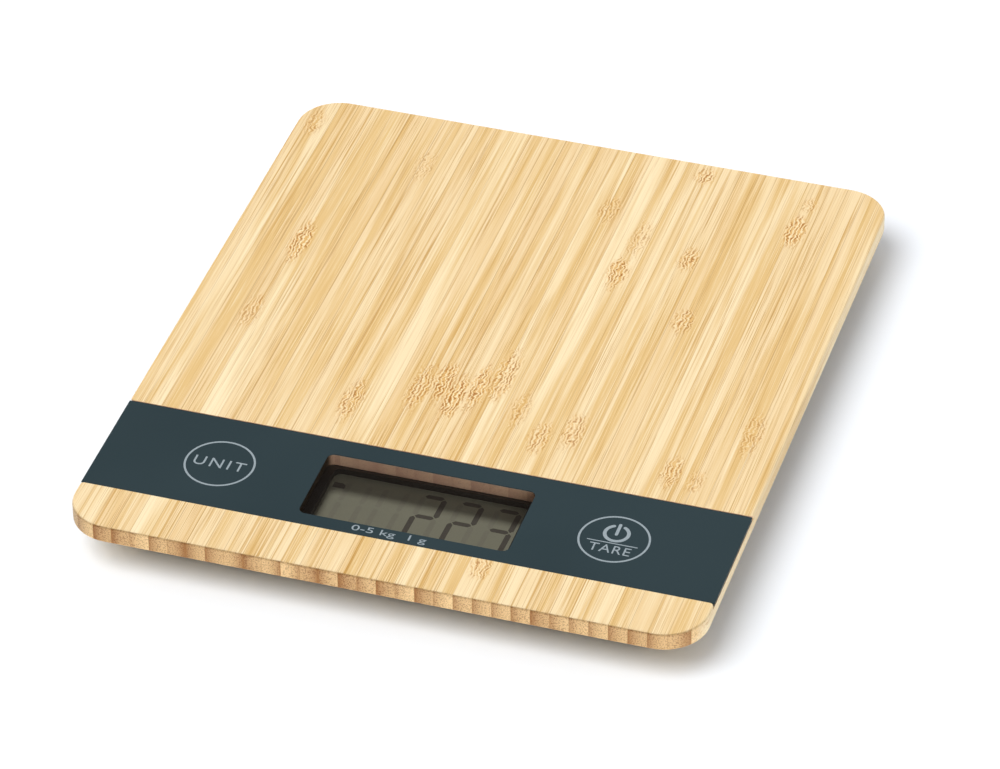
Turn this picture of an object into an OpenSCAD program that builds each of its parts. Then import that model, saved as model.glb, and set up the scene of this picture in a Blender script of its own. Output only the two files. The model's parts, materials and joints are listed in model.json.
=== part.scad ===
// Slim kitchen scale: a laminated bamboo platform with a flush control band, on a flat tray
// with four load-cell feet.
// Frame: +Z up, +Y to the back, X across the front. The origin is under the middle, on the table.

/* [Platform board] */
// Width of the bamboo board, left to right
board_w = 170; // [166:1:240]
// Depth of the bamboo board, front to back
board_d = 200; // [180:1:280]
// Thickness of the bamboo board
board_t = 5; // [4.4:0.1:8]
// Corner radius of the board, seen from above
board_r = 12; // [4:0.5:20]
// Rounding of the board's top and bottom edges
edge_ease = 0.6; // [0.3:0.1:1]

/* [Control band] */
// Distance from the board's front edge to the groove
band_front = 16; // [14:0.5:30]
// Width of the groove, front to back
band_d = 36.4; // [34:0.2:44]
// Depth of the groove
groove_depth = 1.2; // [1.1:0.05:1.6]
// Rounding of the wood where the groove runs out at the sides
groove_end_r = 1.2; // [0.5:0.1:2]
// Gap between the groove's walls and the band's sheets
band_gap = 0.2; // [0.1:0.05:0.4]
// Thickness of the smoked clear sheet
lens_t = 0.8; // [0.5:0.05:0.9]
// Thickness of the printed dark film on top of it
overlay_t = 0.15; // [0.1:0.05:0.2]
// Thickness of the adhesive sheet under it
tape_t = 0.1; // [0.05:0.05:0.15]
// Distance of each touch key from the middle
key_x = 53.4; // [50:0.1:70]
// Distance from the groove's front wall to the touch keys
key_front = 17.6; // [15:0.1:22]

/* [Display] */
// Width of the clear window in the dark film
window_w = 56.5; // [40:0.5:58]
// Depth of the clear window, front to back
window_d = 25.5; // [20:0.5:27]
// Corner radius of the window
window_r = 2; // [1:0.25:4]
// Distance from the groove's front wall to the window
window_front = 4.65; // [4:0.05:8]
// Sideways offset of the display from the middle
display_x = 0.9; // [-2:0.1:2]
// How far the cut-out in the wood stands back from the window
cut_margin = 0.9; // [0.5:0.1:1.5]
// How far the display frame shows inside the window, left and right
frame_lip_x = 1.75; // [1:0.05:3]
// How far the display frame shows inside the window, front and back
frame_lip_y = 0.35; // [0.2:0.05:1]
// Thickness of the display frame's flange
flange_t = 1; // [0.8:0.1:1.4]
// Height of the display frame's rim inside the cut-out
rim_h = 0.75; // [0.5:0.05:1.2]
// Thickness of each display glass
glass_t = 0.9; // [0.7:0.05:1.1]
// Thickness of each polarising film
film_t = 0.15; // [0.1:0.05:0.2]
// Glass hidden beyond each side of the frame's opening
glass_margin = 2; // [1.5:0.1:2.2]
// Contact ledge where the front glass reaches past the rear glass
glass_ledge = 4; // [3:0.1:4.5]
// Wall of the frame's skirt around the glass
skirt_t = 1.2; // [1:0.1:1.5]

/* [Main board] */
// Thickness of the circuit boards
pcb_t = 1; // [0.8:0.1:1.2]
// Space under the main circuit board for its screws
pcb_under = 1.2; // [1.15:0.05:1.6]
// Circuit board beyond the frame's skirt, left and right
pcb_margin = 3.5; // [3:0.1:4]

/* [Base tray] */
// How far the tray stands back from the board's edge
tray_inset = 11; // [9:0.5:14]
// Height of the tray
tray_h = 8; // [7.9:0.1:12]
// Thickness of the tray's floor
tray_floor = 1.6; // [1.5:0.1:1.9]
// Thickness of the tray's walls
tray_wall = 1.8; // [1.4:0.1:2.2]
// Corner radius of the tray
tray_r = 8; // [5:0.5:12]
// Height of the stiffening ribs
rib_h = 1.6; // [1:0.1:1.8]
// Thickness of the stiffening ribs
rib_t = 1.2; // [1:0.1:2]

/* [Feet] */
// Distance from the board's side edge to the foot's centre
foot_side = 29; // [28:0.5:34]
// Distance from the board's front or back edge to the foot's centre
foot_end = 30; // [29:0.5:38]
// Height of the tray's underside above the table
foot_h = 2.4; // [2:0.1:4]
// Diameter of the rubber pad
pad_d = 20; // [18:0.5:22]
// Thickness of the rubber pad
pad_t = 1.9; // [1.4:0.1:1.9]
// Depth of the pocket in the pad that the plunger sits in
pad_pocket = 1; // [0.6:0.1:1.2]
// Diameter of the plunger's shaft
plunger_d = 14; // [12:0.5:15]
// Diameter of the plunger's inner flange
plunger_flange_d = 18; // [17:0.5:20]
// Thickness of the plunger's inner flange
plunger_flange_t = 0.8; // [0.6:0.1:1]
// How far a foot hangs down when the scale is lifted
foot_drop = 0.4; // [0.2:0.1:0.6]
// Clearance around the plunger in the tray
foot_gap = 0.5; // [0.3:0.1:0.8]

/* [Load cells] */
// Side of the square load-cell plate
load_w = 30; // [25:0.5:31]
// Thickness of the load-cell plate
load_t = 1; // [0.8:0.1:1.2]
// Width of the load cell's outer frame
load_frame = 4; // [3:0.5:4.5]
// Thickness of the clamp on the load cell
clamp_t = 1.2; // [1:0.1:1.4]

/* [Battery] */
// Diameter of the coin cell
battery_d = 20; // [16:0.5:24]
// Thickness of the coin cell
battery_t = 3.2; // [2:0.1:3.2]
// Distance of the coin cell behind the middle
battery_y = 35; // [25:1:45]
// Clearance around the battery cover in the tray
cover_gap = 0.25; // [0.2:0.05:0.4]
// Turn that frees the battery cover
cover_turn = 45; // [30:1:50]

/* [Screws] */
// Shank diameter of the self-tapping screws
screw_d = 2.2; // [2:0.1:2.4]
// Head diameter of the screws
head_d = 3.8; // [3.4:0.1:4]
// Head height of the screws
head_h = 1.2; // [0.9:0.1:1.2]
// Depth that a screw bites into the wood
screw_bite = 2.6; // [2:0.1:2.8]

/* [Hidden] */
$fn = 72;

over = 1;             // how far a cutter runs past the surface it cuts
fit = 0.02;           // clearance of pieces that are fixed to each other
small_gap = 0.2;      // clearance of a piece dropped into its seat

// heights, from the table up
tray_z = foot_h;
floor_z = tray_z + tray_floor;
board_z = tray_z + tray_h;
top_z = board_z + board_t;
groove_z = top_z - groove_depth;
lens_z = groove_z + tape_t;
overlay_z = lens_z + lens_t;
pcb_z = floor_z + pcb_under;
pcb_top = pcb_z + pcb_t;
flange_z = board_z - flange_t;
front_glass_z = flange_z - film_t - glass_t;
rear_glass_z = front_glass_z - glass_t;
reflector_z = rear_glass_z - film_t;

// control band, front to back
groove_y = -board_d / 2 + band_front;
band_y = groove_y + band_d / 2;
band_w = board_w - 2 * fit;
sheet_d = band_d - 2 * band_gap;
key_y = groove_y + key_front;

// display
window_y = groove_y + window_front + window_d / 2;
cut_w = window_w + 2 * cut_margin;
cut_d = window_d + 2 * cut_margin;
cut_r = window_r + cut_margin / 2;
opening_w = window_w - 2 * frame_lip_x;
opening_d = window_d - 2 * frame_lip_y;
glass_w = opening_w + 2 * glass_margin;
glass_d = opening_d + 2 * glass_margin;
front_glass_y = window_y + glass_ledge / 2;
skirt_w = glass_w + 2 * (small_gap + skirt_t);
skirt_d = glass_d + glass_ledge + 2 * (small_gap + skirt_t);
ear_r = 3;
ear_x = skirt_w / 2 + 5.3;
ear_dy = 9;
pcb_w = skirt_w + 2 * pcb_margin;
pcb_front = 1;
pcb_rear = 4;
pcb_d = skirt_d + pcb_front + pcb_rear;
pcb_y = front_glass_y + (pcb_rear - pcb_front) / 2;
pcb_screw_r = 2.2;
pcb_screw_x = skirt_w / 2 + 0.6;
pcb_screw_y = skirt_d / 2 - 2.4;
key_hole_d = 10;
touch_board_w = 17;
touch_board_t = 0.8;
spring_d = 7;
spring_wire = 0.45;
spring_turns = 3.25;
zebra_d = 2.4;

// tray
tray_w = board_w - 2 * tray_inset;
tray_d = board_d - 2 * tray_inset;
inner_w = tray_w - 2 * tray_wall;
inner_d = tray_d - 2 * tray_wall;

// feet and load cells: one at each corner, sx left or right, sy front or rear
foot_x = board_w / 2 - foot_side;
foot_y = board_d / 2 - foot_end;
FL = [-1, -1];
FR = [1, -1];
RL = [-1, 1];
RR = [1, 1];
flange_foot_z = floor_z + foot_drop;
button_h = 0.6;
button_d = 6;
load_z = flange_foot_z + plunger_flange_t + button_h;
clamp_z = load_z + load_t;
gauge_h = 0.6;
load_inner = load_w - 2 * load_frame;
tongue_gap = 4;
tongue_w = load_inner - 2 * tongue_gap;
tongue_end_gap = 3;
neck_w = tongue_w * 0.65;
hook_w = 10;            // hook of the tray over each clamp's tab
hook_t = 1.2;
tab_w = 8;
clamp_ear_x = 9;
clamp_ear_r = 2.7;
clamp_ear_y = load_w / 2 + 3.5;

// screws
boss_r = 3.2;
sink_d = head_d + 0.4;
sink_h = head_h + 0.4;
boss_end_x = foot_x - load_w / 2 - boss_r - 0.1;
boss_end_y = inner_d / 2 - boss_r - 1;
boss_side_x = inner_w / 2 - boss_r - 1;
side_boss_step = 29.6;  // from the load cell to the side bosses, towards the middle
boss_side_y = foot_y - load_w / 2 - side_boss_step;
BASE_SCREWS = [for (sx = [-1, 1], sy = [-1, 1], p = [[boss_end_x, boss_end_y], [boss_side_x, boss_side_y]])
  [sx * p[0], sy * p[1]]];
FRAME_SCREWS = [for (sx = [-1, 1], sy = [-1, 1]) [display_x + sx * ear_x, window_y + sy * ear_dy]];
BOARD_SCREWS = [for (sx = [-1, 1], sy = [-1, 1])
  [display_x + sx * pcb_screw_x, front_glass_y + sy * pcb_screw_y]];
CLAMP_SCREWS = [for (c = [FL, FR, RL, RR], u = [-1, 1])
  [c[0] * foot_x + u * clamp_ear_x, c[1] * (foot_y - clamp_ear_y)]];

// battery
lip_t = 1;
lug_t = 0.8;
lug_angle = 24;
plug_r = battery_d / 2 + 2.5;
lug_r = plug_r + 1.7;
lug_groove_r = lug_r + 0.3;
lip_r = plug_r + cover_gap;
ring_r = lug_groove_r + 2.5;
ring_z = tray_z + lip_t + lug_t + 0.4;
cover_top = ring_z - small_gap;
cell_z = cover_top + 0.1;
well_r = battery_d / 2 + 0.3;
well_z = cell_z + battery_t + 0.8;
holder_top = well_z + 0.9;
holder_flange_t = 0.8;
holder_screw_x = ring_r + 2.6;
post_r = 2.4;
contact_t = 0.3;

// wires: hand-chosen points, worked out from the pieces they join
wire_r = 0.45;
lead_r = 0.7;
wire_z = floor_z + rib_h + 0.9;
lane_x = foot_x - load_w / 2 - 3.5;
pad_z = pcb_top + wire_r;
pcb_rear_y = pcb_y + pcb_d / 2;

// ---------------------------------------------------------------- helpers

// rounded rectangle
module rounded(w, d, r) {
  square([w - 2 * r, d], center = true);
  square([w, d - 2 * r], center = true);
  for (sx = [-1, 1], sy = [-1, 1]) translate([sx * (w / 2 - r), sy * (d / 2 - r)]) circle(r);
}

module slab(w, d, r, z, t) {
  translate([0, 0, z]) linear_extrude(t) rounded(w, d, r);
}

// section of the material taken off an edge, for a corner at the origin: x outward, y up
module eased_section(e) {
  steps = 4;
  arc = [for (i = [0:steps]) [e * cos(90 * i / steps) - e, e * sin(90 * i / steps) - e]];
  polygon(concat([[over, -e]], arc, [[-e, over], [over, over]]));
}

// cutter that eases the top edge of a rounded slab whose top is at z = 0
module edge_cutter(w, d, r, e) {
  for (k = [0:3]) {
    run = k % 2 == 0 ? d - 2 * r : w - 2 * r;
    reach = k % 2 == 0 ? w / 2 : d / 2;
    rotate([0, 0, 90 * k]) {
      translate([reach, run / 2, 0]) rotate([90, 0, 0]) linear_extrude(run) eased_section(e);
      translate([reach - r, run / 2, 0])
        rotate_extrude(angle = 90) translate([r, 0]) eased_section(e);
    }
  }
}

// part of a ring between two radii, centred on an angle
module sector(r0, r1, z, t, mid, angle) {
  rotate([0, 0, mid - angle / 2])
    rotate_extrude(angle = angle) translate([r0, z]) square([r1 - r0, t]);
}

// self-tapping screw, head down, with the head's underside at z = 0 and the shank going up
module screw(length) {
  tip = 0.8;
  difference() {
    translate([0, 0, -head_h]) cylinder(d = head_d, h = head_h);
    for (a = [0, 90]) rotate([0, 0, a])
      translate([-head_d * 0.29, -0.25, -head_h - over]) cube([head_d * 0.58, 0.5, over + head_h * 0.6]);
  }
  cylinder(d = screw_d, h = length - tip);
  translate([0, 0, length - tip]) cylinder(d1 = screw_d, d2 = screw_d * 0.4, h = tip);
}

module screws_up(places, z, length) {
  for (p = places) translate([p[0], p[1], z]) screw(length);
}

module screws_down(places, z, length) {
  for (p = places) translate([p[0], p[1], z]) mirror([0, 0, 1]) screw(length);
}

module holes(places, d, z, h) {
  for (p = places) translate([p[0], p[1], z]) cylinder(d = d, h = h);
}

// places a piece drawn for the rear right corner at any corner
module corner(c) {
  mirror([c[0] < 0 ? 1 : 0, 0, 0]) mirror([0, c[1] < 0 ? 1 : 0, 0])
    translate([foot_x, foot_y, 0]) children();
}

function unit(v) = v / norm(v);
function last(p) = len(p) - 1;
function tangent(p, i) = unit(p[min(i + 1, last(p))] - p[max(i - 1, 0)]);

// smooth curve through hand-chosen points
function at(p, i) = p[max(0, min(i, last(p)))];
function spline(a, b, c, d, t) =
  0.5 * (2 * b + (c - a) * t + (2 * a - 5 * b + 4 * c - d) * t * t + (3 * b - a - 3 * c + d) * t * t * t);
function smooth(p, n = 4) = concat(
  [for (i = [0:last(p) - 1], k = [0:n - 1]) spline(at(p, i - 1), at(p, i), at(p, i + 1), at(p, i + 2), k / n)],
  [p[last(p)]]);

// round bar along a path that never runs straight up
module tube(path, r, sides = 8) {
  rings = [for (i = [0:last(path)]) let (t = tangent(path, i), u = unit(cross(t, [0, 0, 1])), v = cross(u, t))
    for (s = [0:sides - 1]) path[i] + r * (cos(360 * s / sides) * u + sin(360 * s / sides) * v)];
  n = len(path);
  walls = [for (i = [0:n - 2], s = [0:sides - 1]) let (a = i * sides, q = (s + 1) % sides)
    each [[a + s, a + sides + s, a + q], [a + q, a + sides + s, a + sides + q]]];
  caps = [[for (s = [0:sides - 1]) s], [for (s = [sides - 1:-1:0]) (n - 1) * sides + s]];
  polyhedron(rings, concat(walls, caps), convexity = 8);
}

// ---------------------------------------------------------------- platform

module platform_board() {
  color([0.92, 0.8, 0.58]) difference() {
    slab(board_w, board_d, board_r, board_z, board_t);
    translate([0, 0, top_z]) edge_cutter(board_w, board_d, board_r, edge_ease);
    translate([0, 0, board_z]) mirror([0, 0, 1]) edge_cutter(board_w, board_d, board_r, edge_ease);
    // groove for the control band, open at both sides
    translate([-board_w / 2 - over, groove_y, groove_z]) cube([board_w + 2 * over, band_d, board_t]);
    for (sx = [-1, 1], sy = [-1, 1]) translate([sx * board_w / 2, band_y + sy * band_d / 2, groove_z])
      mirror([sx < 0 ? 1 : 0, 0, 0]) mirror([0, sy < 0 ? 1 : 0, 0]) linear_extrude(board_t) difference() {
        translate([-groove_end_r, -over]) square([groove_end_r + over, groove_end_r + over]);
        translate([-groove_end_r, groove_end_r]) circle(groove_end_r, $fn = 32);
      }
    // display cut-out and the holes over the touch springs
    translate([display_x, window_y, 0]) slab(cut_w, cut_d, cut_r, board_z - over, board_t + over);
    for (sx = [-1, 1]) translate([sx * key_x, key_y, board_z - over])
      cylinder(d = key_hole_d, h = board_t + over);
    holes(BASE_SCREWS, screw_d + 2 * fit, board_z - over, screw_bite + over + small_gap);
    holes(FRAME_SCREWS, screw_d + 2 * fit, board_z - over, screw_bite + over + small_gap);
  }
}

module lens_adhesive() {
  color([0.85, 0.85, 0.8]) difference() {
    translate([-band_w / 2, band_y - sheet_d / 2, groove_z]) cube([band_w, sheet_d, tape_t]);
    translate([display_x, window_y, 0])
      slab(cut_w, cut_d, cut_r, groove_z - over, tape_t + 2 * over);
    for (sx = [-1, 1]) translate([sx * key_x, key_y, groove_z - over])
      cylinder(d = key_hole_d, h = tape_t + 2 * over);
  }
}

module control_lens() {
  color([0.25, 0.27, 0.28, 0.5])
    translate([-band_w / 2, band_y - sheet_d / 2, lens_z]) cube([band_w, sheet_d, lens_t]);
}

module control_overlay() {
  color([0.21, 0.26, 0.29]) difference() {
    translate([-band_w / 2, band_y - sheet_d / 2, overlay_z]) cube([band_w, sheet_d, overlay_t]);
    translate([display_x, window_y, 0])
      slab(window_w, window_d, window_r, overlay_z - over, overlay_t + 2 * over);
  }
}

// ---------------------------------------------------------------- display

module display_frame() {
  ear_w = 2 * ear_x;
  color([0.06, 0.06, 0.06]) difference() {
    union() {
      translate([display_x, front_glass_y, 0]) slab(skirt_w, skirt_d, 1, pcb_top, board_z - pcb_top);
      translate([display_x, window_y, 0]) {
        slab(cut_w - 2 * small_gap, cut_d - 2 * small_gap, cut_r - small_gap, flange_z, flange_t + rim_h);
        translate([-ear_x, -ear_dy - ear_r, flange_z]) cube([ear_w, 2 * (ear_dy + ear_r), flange_t]);
        for (sx = [-1, 1]) translate([sx * ear_x, -ear_dy, flange_z]) {
          cylinder(r = ear_r, h = flange_t);
          translate([0, 2 * ear_dy, 0]) cylinder(r = ear_r, h = flange_t);
          translate([-ear_r, 0, 0]) cube([2 * ear_r, 2 * ear_dy, flange_t]);
        }
      }
      holes(BOARD_SCREWS, 2 * pcb_screw_r, pcb_top, board_z - pcb_top);
    }
    translate([display_x, window_y, 0]) slab(opening_w, opening_d, window_r, flange_z - over, board_t);
    translate([display_x, front_glass_y, 0])
      slab(glass_w + 2 * small_gap, glass_d + glass_ledge + 2 * small_gap, 0.5,
        pcb_top - over, flange_z - pcb_top + over);
    holes(FRAME_SCREWS, screw_d + 2 * small_gap, flange_z - over, board_t);
    holes(BOARD_SCREWS, screw_d + 2 * fit, pcb_top - over, flange_z - pcb_top + over);
  }
}

module lcd_front_polariser() {
  color([0.35, 0.36, 0.3, 0.4]) translate([display_x, window_y, 0])
    slab(glass_w, glass_d, 0.3, flange_z - film_t, film_t);
}

module lcd_front_glass() {
  color([0.6, 0.65, 0.6, 0.4]) translate([display_x, front_glass_y, 0])
    slab(glass_w, glass_d + glass_ledge, 0.3, front_glass_z, glass_t);
}

module lcd_rear_glass() {
  color([0.55, 0.6, 0.55, 0.4]) translate([display_x, window_y, 0])
    slab(glass_w, glass_d, 0.3, rear_glass_z, glass_t);
}

module lcd_reflector() {
  color([0.43, 0.42, 0.36]) translate([display_x, window_y, 0])
    slab(glass_w, glass_d, 0.3, reflector_z, film_t);
}

// rubber connector from the board up to the contact ledge of the front glass
module zebra_strip() {
  color([0.9, 0.55, 0.6])
    translate([display_x - glass_w / 2 + 2,
      front_glass_y + (glass_d + glass_ledge) / 2 - zebra_d - 0.4, pcb_top])
      cube([glass_w - 4, zebra_d, front_glass_z - pcb_top]);
}

module main_board() {
  color([0.1, 0.4, 0.2]) difference() {
    translate([display_x, pcb_y, 0]) slab(pcb_w, pcb_d, 1.5, pcb_z, pcb_t);
    holes(BOARD_SCREWS, screw_d + small_gap, pcb_z - over, pcb_t + 2 * over);
  }
}

// chips between the board and the display's reflector
module board_chips() {
  chip_h = min(0.9, reflector_z - pcb_top - 0.1);
  blob_d = 12;
  chip = [6.4, 4.4];
  pin = [0.3, 1.2];
  pin_pitch = 0.85;
  color([0.08, 0.08, 0.09]) translate([display_x, window_y, pcb_top]) {
    cylinder(d = blob_d, h = chip_h * 0.7);
    translate([0, 0, chip_h * 0.7]) cylinder(d1 = blob_d, d2 = blob_d - 4, h = chip_h * 0.3);
    for (x = [-17, 16]) translate([x, 2, 0]) {
      translate([-chip[0] / 2, -chip[1] / 2, 0.1]) cube([chip[0], chip[1], chip_h - 0.1]);
      for (k = [-3:3], s = [-1, 1])
        translate([k * pin_pitch - pin[0] / 2, s * (chip[1] / 2 + 0.4) - pin[1] / 2, 0])
          cube([pin[0], pin[1], 0.3]);
    }
    // small capacitors and resistors
    for (x = [-20, -11, 9, 11.5]) translate([x, -7, 0]) cube([1.6, 0.8, 0.6]);
  }
}

module board_screws() {
  color("silver") screws_up(BOARD_SCREWS, pcb_z, flange_z - pcb_z - 0.3);
}

module frame_screws() {
  color("silver") screws_up(FRAME_SCREWS, flange_z, flange_t + screw_bite);
}

// ---------------------------------------------------------------- touch keys

module touch_board(sx) {
  color([0.1, 0.4, 0.2]) translate([sx * key_x, key_y, 0])
    slab(touch_board_w, touch_board_w, 2, board_z - touch_board_t, touch_board_t);
}

module touch_spring(sx) {
  rise = groove_z + tape_t - board_z - spring_wire;
  steps = ceil(spring_turns * 16);
  coil = [for (i = [0:steps]) let (a = 360 * spring_turns * i / steps)
    [sx * key_x + (spring_d - spring_wire) / 2 * cos(a), key_y + (spring_d - spring_wire) / 2 * sin(a),
     board_z + spring_wire / 2 + rise * i / steps]];
  color("gold") tube(coil, spring_wire / 2, 6);
}

// one lead from each touch board down to the main board
module touch_wires() {
  color("white") for (sx = [-1, 1]) {
    from = key_x - touch_board_w / 2;
    to = display_x * sx + skirt_w / 2 + pcb_margin / 2 + 0.2;
    drop = board_z - touch_board_t - wire_r - fit;
    past_clamp = min(from - 4.5, foot_x - load_w / 2 - 0.6);
    tube(smooth([for (p = [[from + 2, drop], [from, drop], [past_clamp, drop - 0.4],
      [(past_clamp + to) / 2, (drop + pad_z) / 2], [to + 2, pad_z + 0.6],
      [to + 0.6, pad_z + 0.1], [to, pad_z + 0.1]])
      [sx * p[0], key_y, p[1]]]), wire_r);
  }
}

// ---------------------------------------------------------------- base

module base_tray() {
  ledge = 3;
  rib_reach = foot_x - load_w / 2 - 1;
  rib_x = holder_screw_x + 8;
  rib_y = ring_r + 8;
  root = 0.4;  // how far a piece on the floor reaches down into it
  color([0.1, 0.1, 0.1]) difference() {
    union() {
      difference() {
        slab(tray_w, tray_d, tray_r, tray_z, tray_h);
        slab(inner_w, inner_d, tray_r - tray_wall, floor_z, tray_h);
      }
      holes(BASE_SCREWS, 2 * boss_r, floor_z - root, board_z - floor_z + root);
      // ledge and screw posts under each load cell, and the hook over its clamp
      for (c = [FL, FR, RL, RR]) corner(c) {
        difference() {
          slab(load_w, load_w, 2, floor_z - root, load_z - floor_z + root);
          slab(load_w - 2 * ledge, load_w - 2 * ledge, 1, floor_z - over, load_z);
        }
        for (u = [-1, 1]) translate([u * clamp_ear_x, -clamp_ear_y, floor_z - root])
          cylinder(r = clamp_ear_r, h = clamp_z - floor_z + root);
        hook_y = inner_d / 2 - foot_y;
        translate([-hook_w / 2, load_w / 2 + 0.5, clamp_z + clamp_t + 0.1])
          cube([hook_w, hook_y - load_w / 2, hook_t]);
      }
      // stiffening ribs, and posts that hold up the middle of the platform
      for (sx = [-1, 1]) translate([sx * rib_x - rib_t / 2, pcb_rear_y + 3, floor_z - root])
        cube([rib_t, inner_d / 2 - pcb_rear_y - 2, rib_h + root]);
      for (y = [battery_y - rib_y, battery_y + rib_y]) {
        translate([-rib_reach, y - rib_t / 2, floor_z - root]) cube([2 * rib_reach, rib_t, rib_h + root]);
        for (sx = [-1, 1]) translate([sx * rib_x, y, floor_z - root])
          cylinder(r = post_r, h = board_z - floor_z + root);
      }
      // ring around the battery cover
      translate([0, battery_y, tray_z]) cylinder(r = ring_r, h = ring_z - tray_z);
      for (sx = [-1, 1]) translate([sx * holder_screw_x, battery_y, floor_z - root])
        cylinder(r = post_r, h = ring_z - floor_z + root);
    }
    translate([0, 0, tray_z]) mirror([0, 0, 1]) edge_cutter(tray_w, tray_d, tray_r, 0.8);
    for (c = [FL, FR, RL, RR]) corner(c) {
      translate([0, 0, tray_z - over]) cylinder(d = plunger_d + 2 * foot_gap, h = tray_floor + 2 * over);
      for (u = [-1, 1]) translate([u * clamp_ear_x, -clamp_ear_y, floor_z + 0.2])
        cylinder(d = screw_d + 2 * fit, h = clamp_z);
    }
    holes(BASE_SCREWS, screw_d + 2 * small_gap, tray_z - over, tray_h + 2 * over);
    holes(BASE_SCREWS, sink_d, tray_z - over, sink_h + over);
    for (sx = [-1, 1]) translate([sx * holder_screw_x, battery_y, tray_z + 0.5])
      cylinder(d = screw_d + 2 * fit, h = tray_h);
    // twist lock: a lip with three entries, and a groove above it with three stops
    translate([0, battery_y, 0]) {
      translate([0, 0, tray_z - over]) cylinder(r = lip_r, h = lip_t + 3 * over);
      difference() {
        translate([0, 0, tray_z + lip_t]) cylinder(r = lug_groove_r, h = tray_h);
        for (k = [0:2]) sector(lip_r - 0.5, lug_groove_r + over, tray_z, ring_z,
          120 * k + 60 - cover_turn / 2, 120 - cover_turn - lug_angle - 6);
      }
      for (k = [0:2])
        sector(lip_r - 0.5, lug_groove_r - 0.1, tray_z - over, over + lip_t + 0.3,
          120 * k - cover_turn, lug_angle + 4);
    }
  }
}

module base_screws() {
  color("silver") screws_up(BASE_SCREWS, tray_z + sink_h, board_z + screw_bite - tray_z - sink_h);
}

// ---------------------------------------------------------------- load cells

module load_cell(c) {
  color([0.75, 0.76, 0.78]) corner(c) translate([0, 0, load_z]) linear_extrude(load_t) {
    difference() {
      rounded(load_w, load_w, 2);
      square(load_inner, center = true);
    }
    translate([-tongue_w / 2, -load_inner / 2 + tongue_gap])
      square([tongue_w, load_inner - tongue_gap - tongue_end_gap]);
    translate([-neck_w / 2, -load_inner / 2 - over]) square([neck_w, tongue_gap + 1 + over]);
  }
}

module strain_gauge(c) {
  color([0.9, 0.9, 0.85]) corner(c)
    translate([0, -load_inner / 2 + 3.2, 0]) slab(neck_w - 1, 5.5, 1, clamp_z, gauge_h);
}

module cell_clamp(c) {
  color([0.15, 0.15, 0.15]) corner(c) translate([0, 0, clamp_z]) difference() {
    union() {
      linear_extrude(clamp_t) rounded(load_w, load_w, 2);
      for (u = [-1, 1]) translate([u * clamp_ear_x, -clamp_ear_y, 0]) {
        cylinder(r = clamp_ear_r, h = clamp_t);
        translate([-clamp_ear_r, 0, 0]) cube([2 * clamp_ear_r, clamp_ear_y - load_w / 2 + 1, clamp_t]);
      }
      translate([-tab_w / 2, load_w / 2 - 1, 0])
        cube([tab_w, inner_d / 2 - foot_y - load_w / 2 + 0.7, clamp_t]);
    }
    translate([0, 0, -over]) linear_extrude(clamp_t + 2 * over) square(load_inner, center = true);
    for (u = [-1, 1]) translate([u * clamp_ear_x, -clamp_ear_y, -over])
      cylinder(d = screw_d + 2 * small_gap, h = clamp_t + 2 * over);
  }
}

module clamp_screws() {
  color("silver") screws_down(CLAMP_SCREWS, clamp_z + clamp_t, clamp_t + clamp_z - floor_z - 0.4);
}

// three-core lead from a strain gauge to the main board's rear edge
module cell_wires(c) {
  over_z = clamp_z + clamp_t + lead_r + 0.06;
  inner_y = foot_y - load_w / 2;
  land_x = display_x * c[0] + pcb_w / 2 - (c[1] > 0 ? 9 : 4);
  off_cell = [[foot_x, inner_y + load_frame + 2.5, clamp_z + gauge_h + lead_r],
    [foot_x, inner_y + load_frame, over_z], [foot_x, inner_y - 1.5, over_z],
    [foot_x - 2, inner_y - 5, over_z - 1]];
  down_lane = [[foot_x - 8, inner_y - 11, wire_z], [lane_x, inner_y - 20, wire_z],
    [lane_x, (inner_y + pcb_rear_y) / 2, wire_z], [lane_x, pcb_rear_y + 20, wire_z],
    [land_x + 7, pcb_rear_y + 8, wire_z]];
  across = [[foot_x - 8, pcb_rear_y - 1, wire_z], [lane_x + 1, pcb_rear_y + 3, wire_z]];
  land = [[land_x + 0.5, pcb_rear_y + 3, pad_z + 0.6], [land_x, pcb_rear_y, pad_z + 0.3],
    [land_x, pcb_rear_y - 1.5, pad_z + 0.3]];
  path = concat([for (p = off_cell) [p[0], c[1] * p[1], p[2]]], c[1] > 0 ? down_lane : across, land);
  color("white") tube(smooth([for (p = path) [c[0] * p[0], p[1], p[2]]], 3), lead_r);
}

// ---------------------------------------------------------------- feet

module foot_plunger(c) {
  color([0.12, 0.12, 0.12]) corner(c) {
    translate([0, 0, pad_t - pad_pocket]) cylinder(d = plunger_d, h = flange_foot_z - pad_t + pad_pocket);
    translate([0, 0, flange_foot_z]) cylinder(d = plunger_flange_d, h = plunger_flange_t);
    translate([0, 0, flange_foot_z + plunger_flange_t]) cylinder(d = button_d, h = button_h);
  }
}

module foot_pad(c) {
  color([0.2, 0.2, 0.2]) corner(c) difference() {
    union() {
      cylinder(d1 = pad_d - 1, d2 = pad_d, h = 0.5);
      translate([0, 0, 0.5]) cylinder(d = pad_d, h = pad_t - 0.5);
    }
    translate([0, 0, pad_t - pad_pocket]) cylinder(d = plunger_d + 2 * fit, h = pad_pocket + over);
  }
}

// ---------------------------------------------------------------- battery

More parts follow.
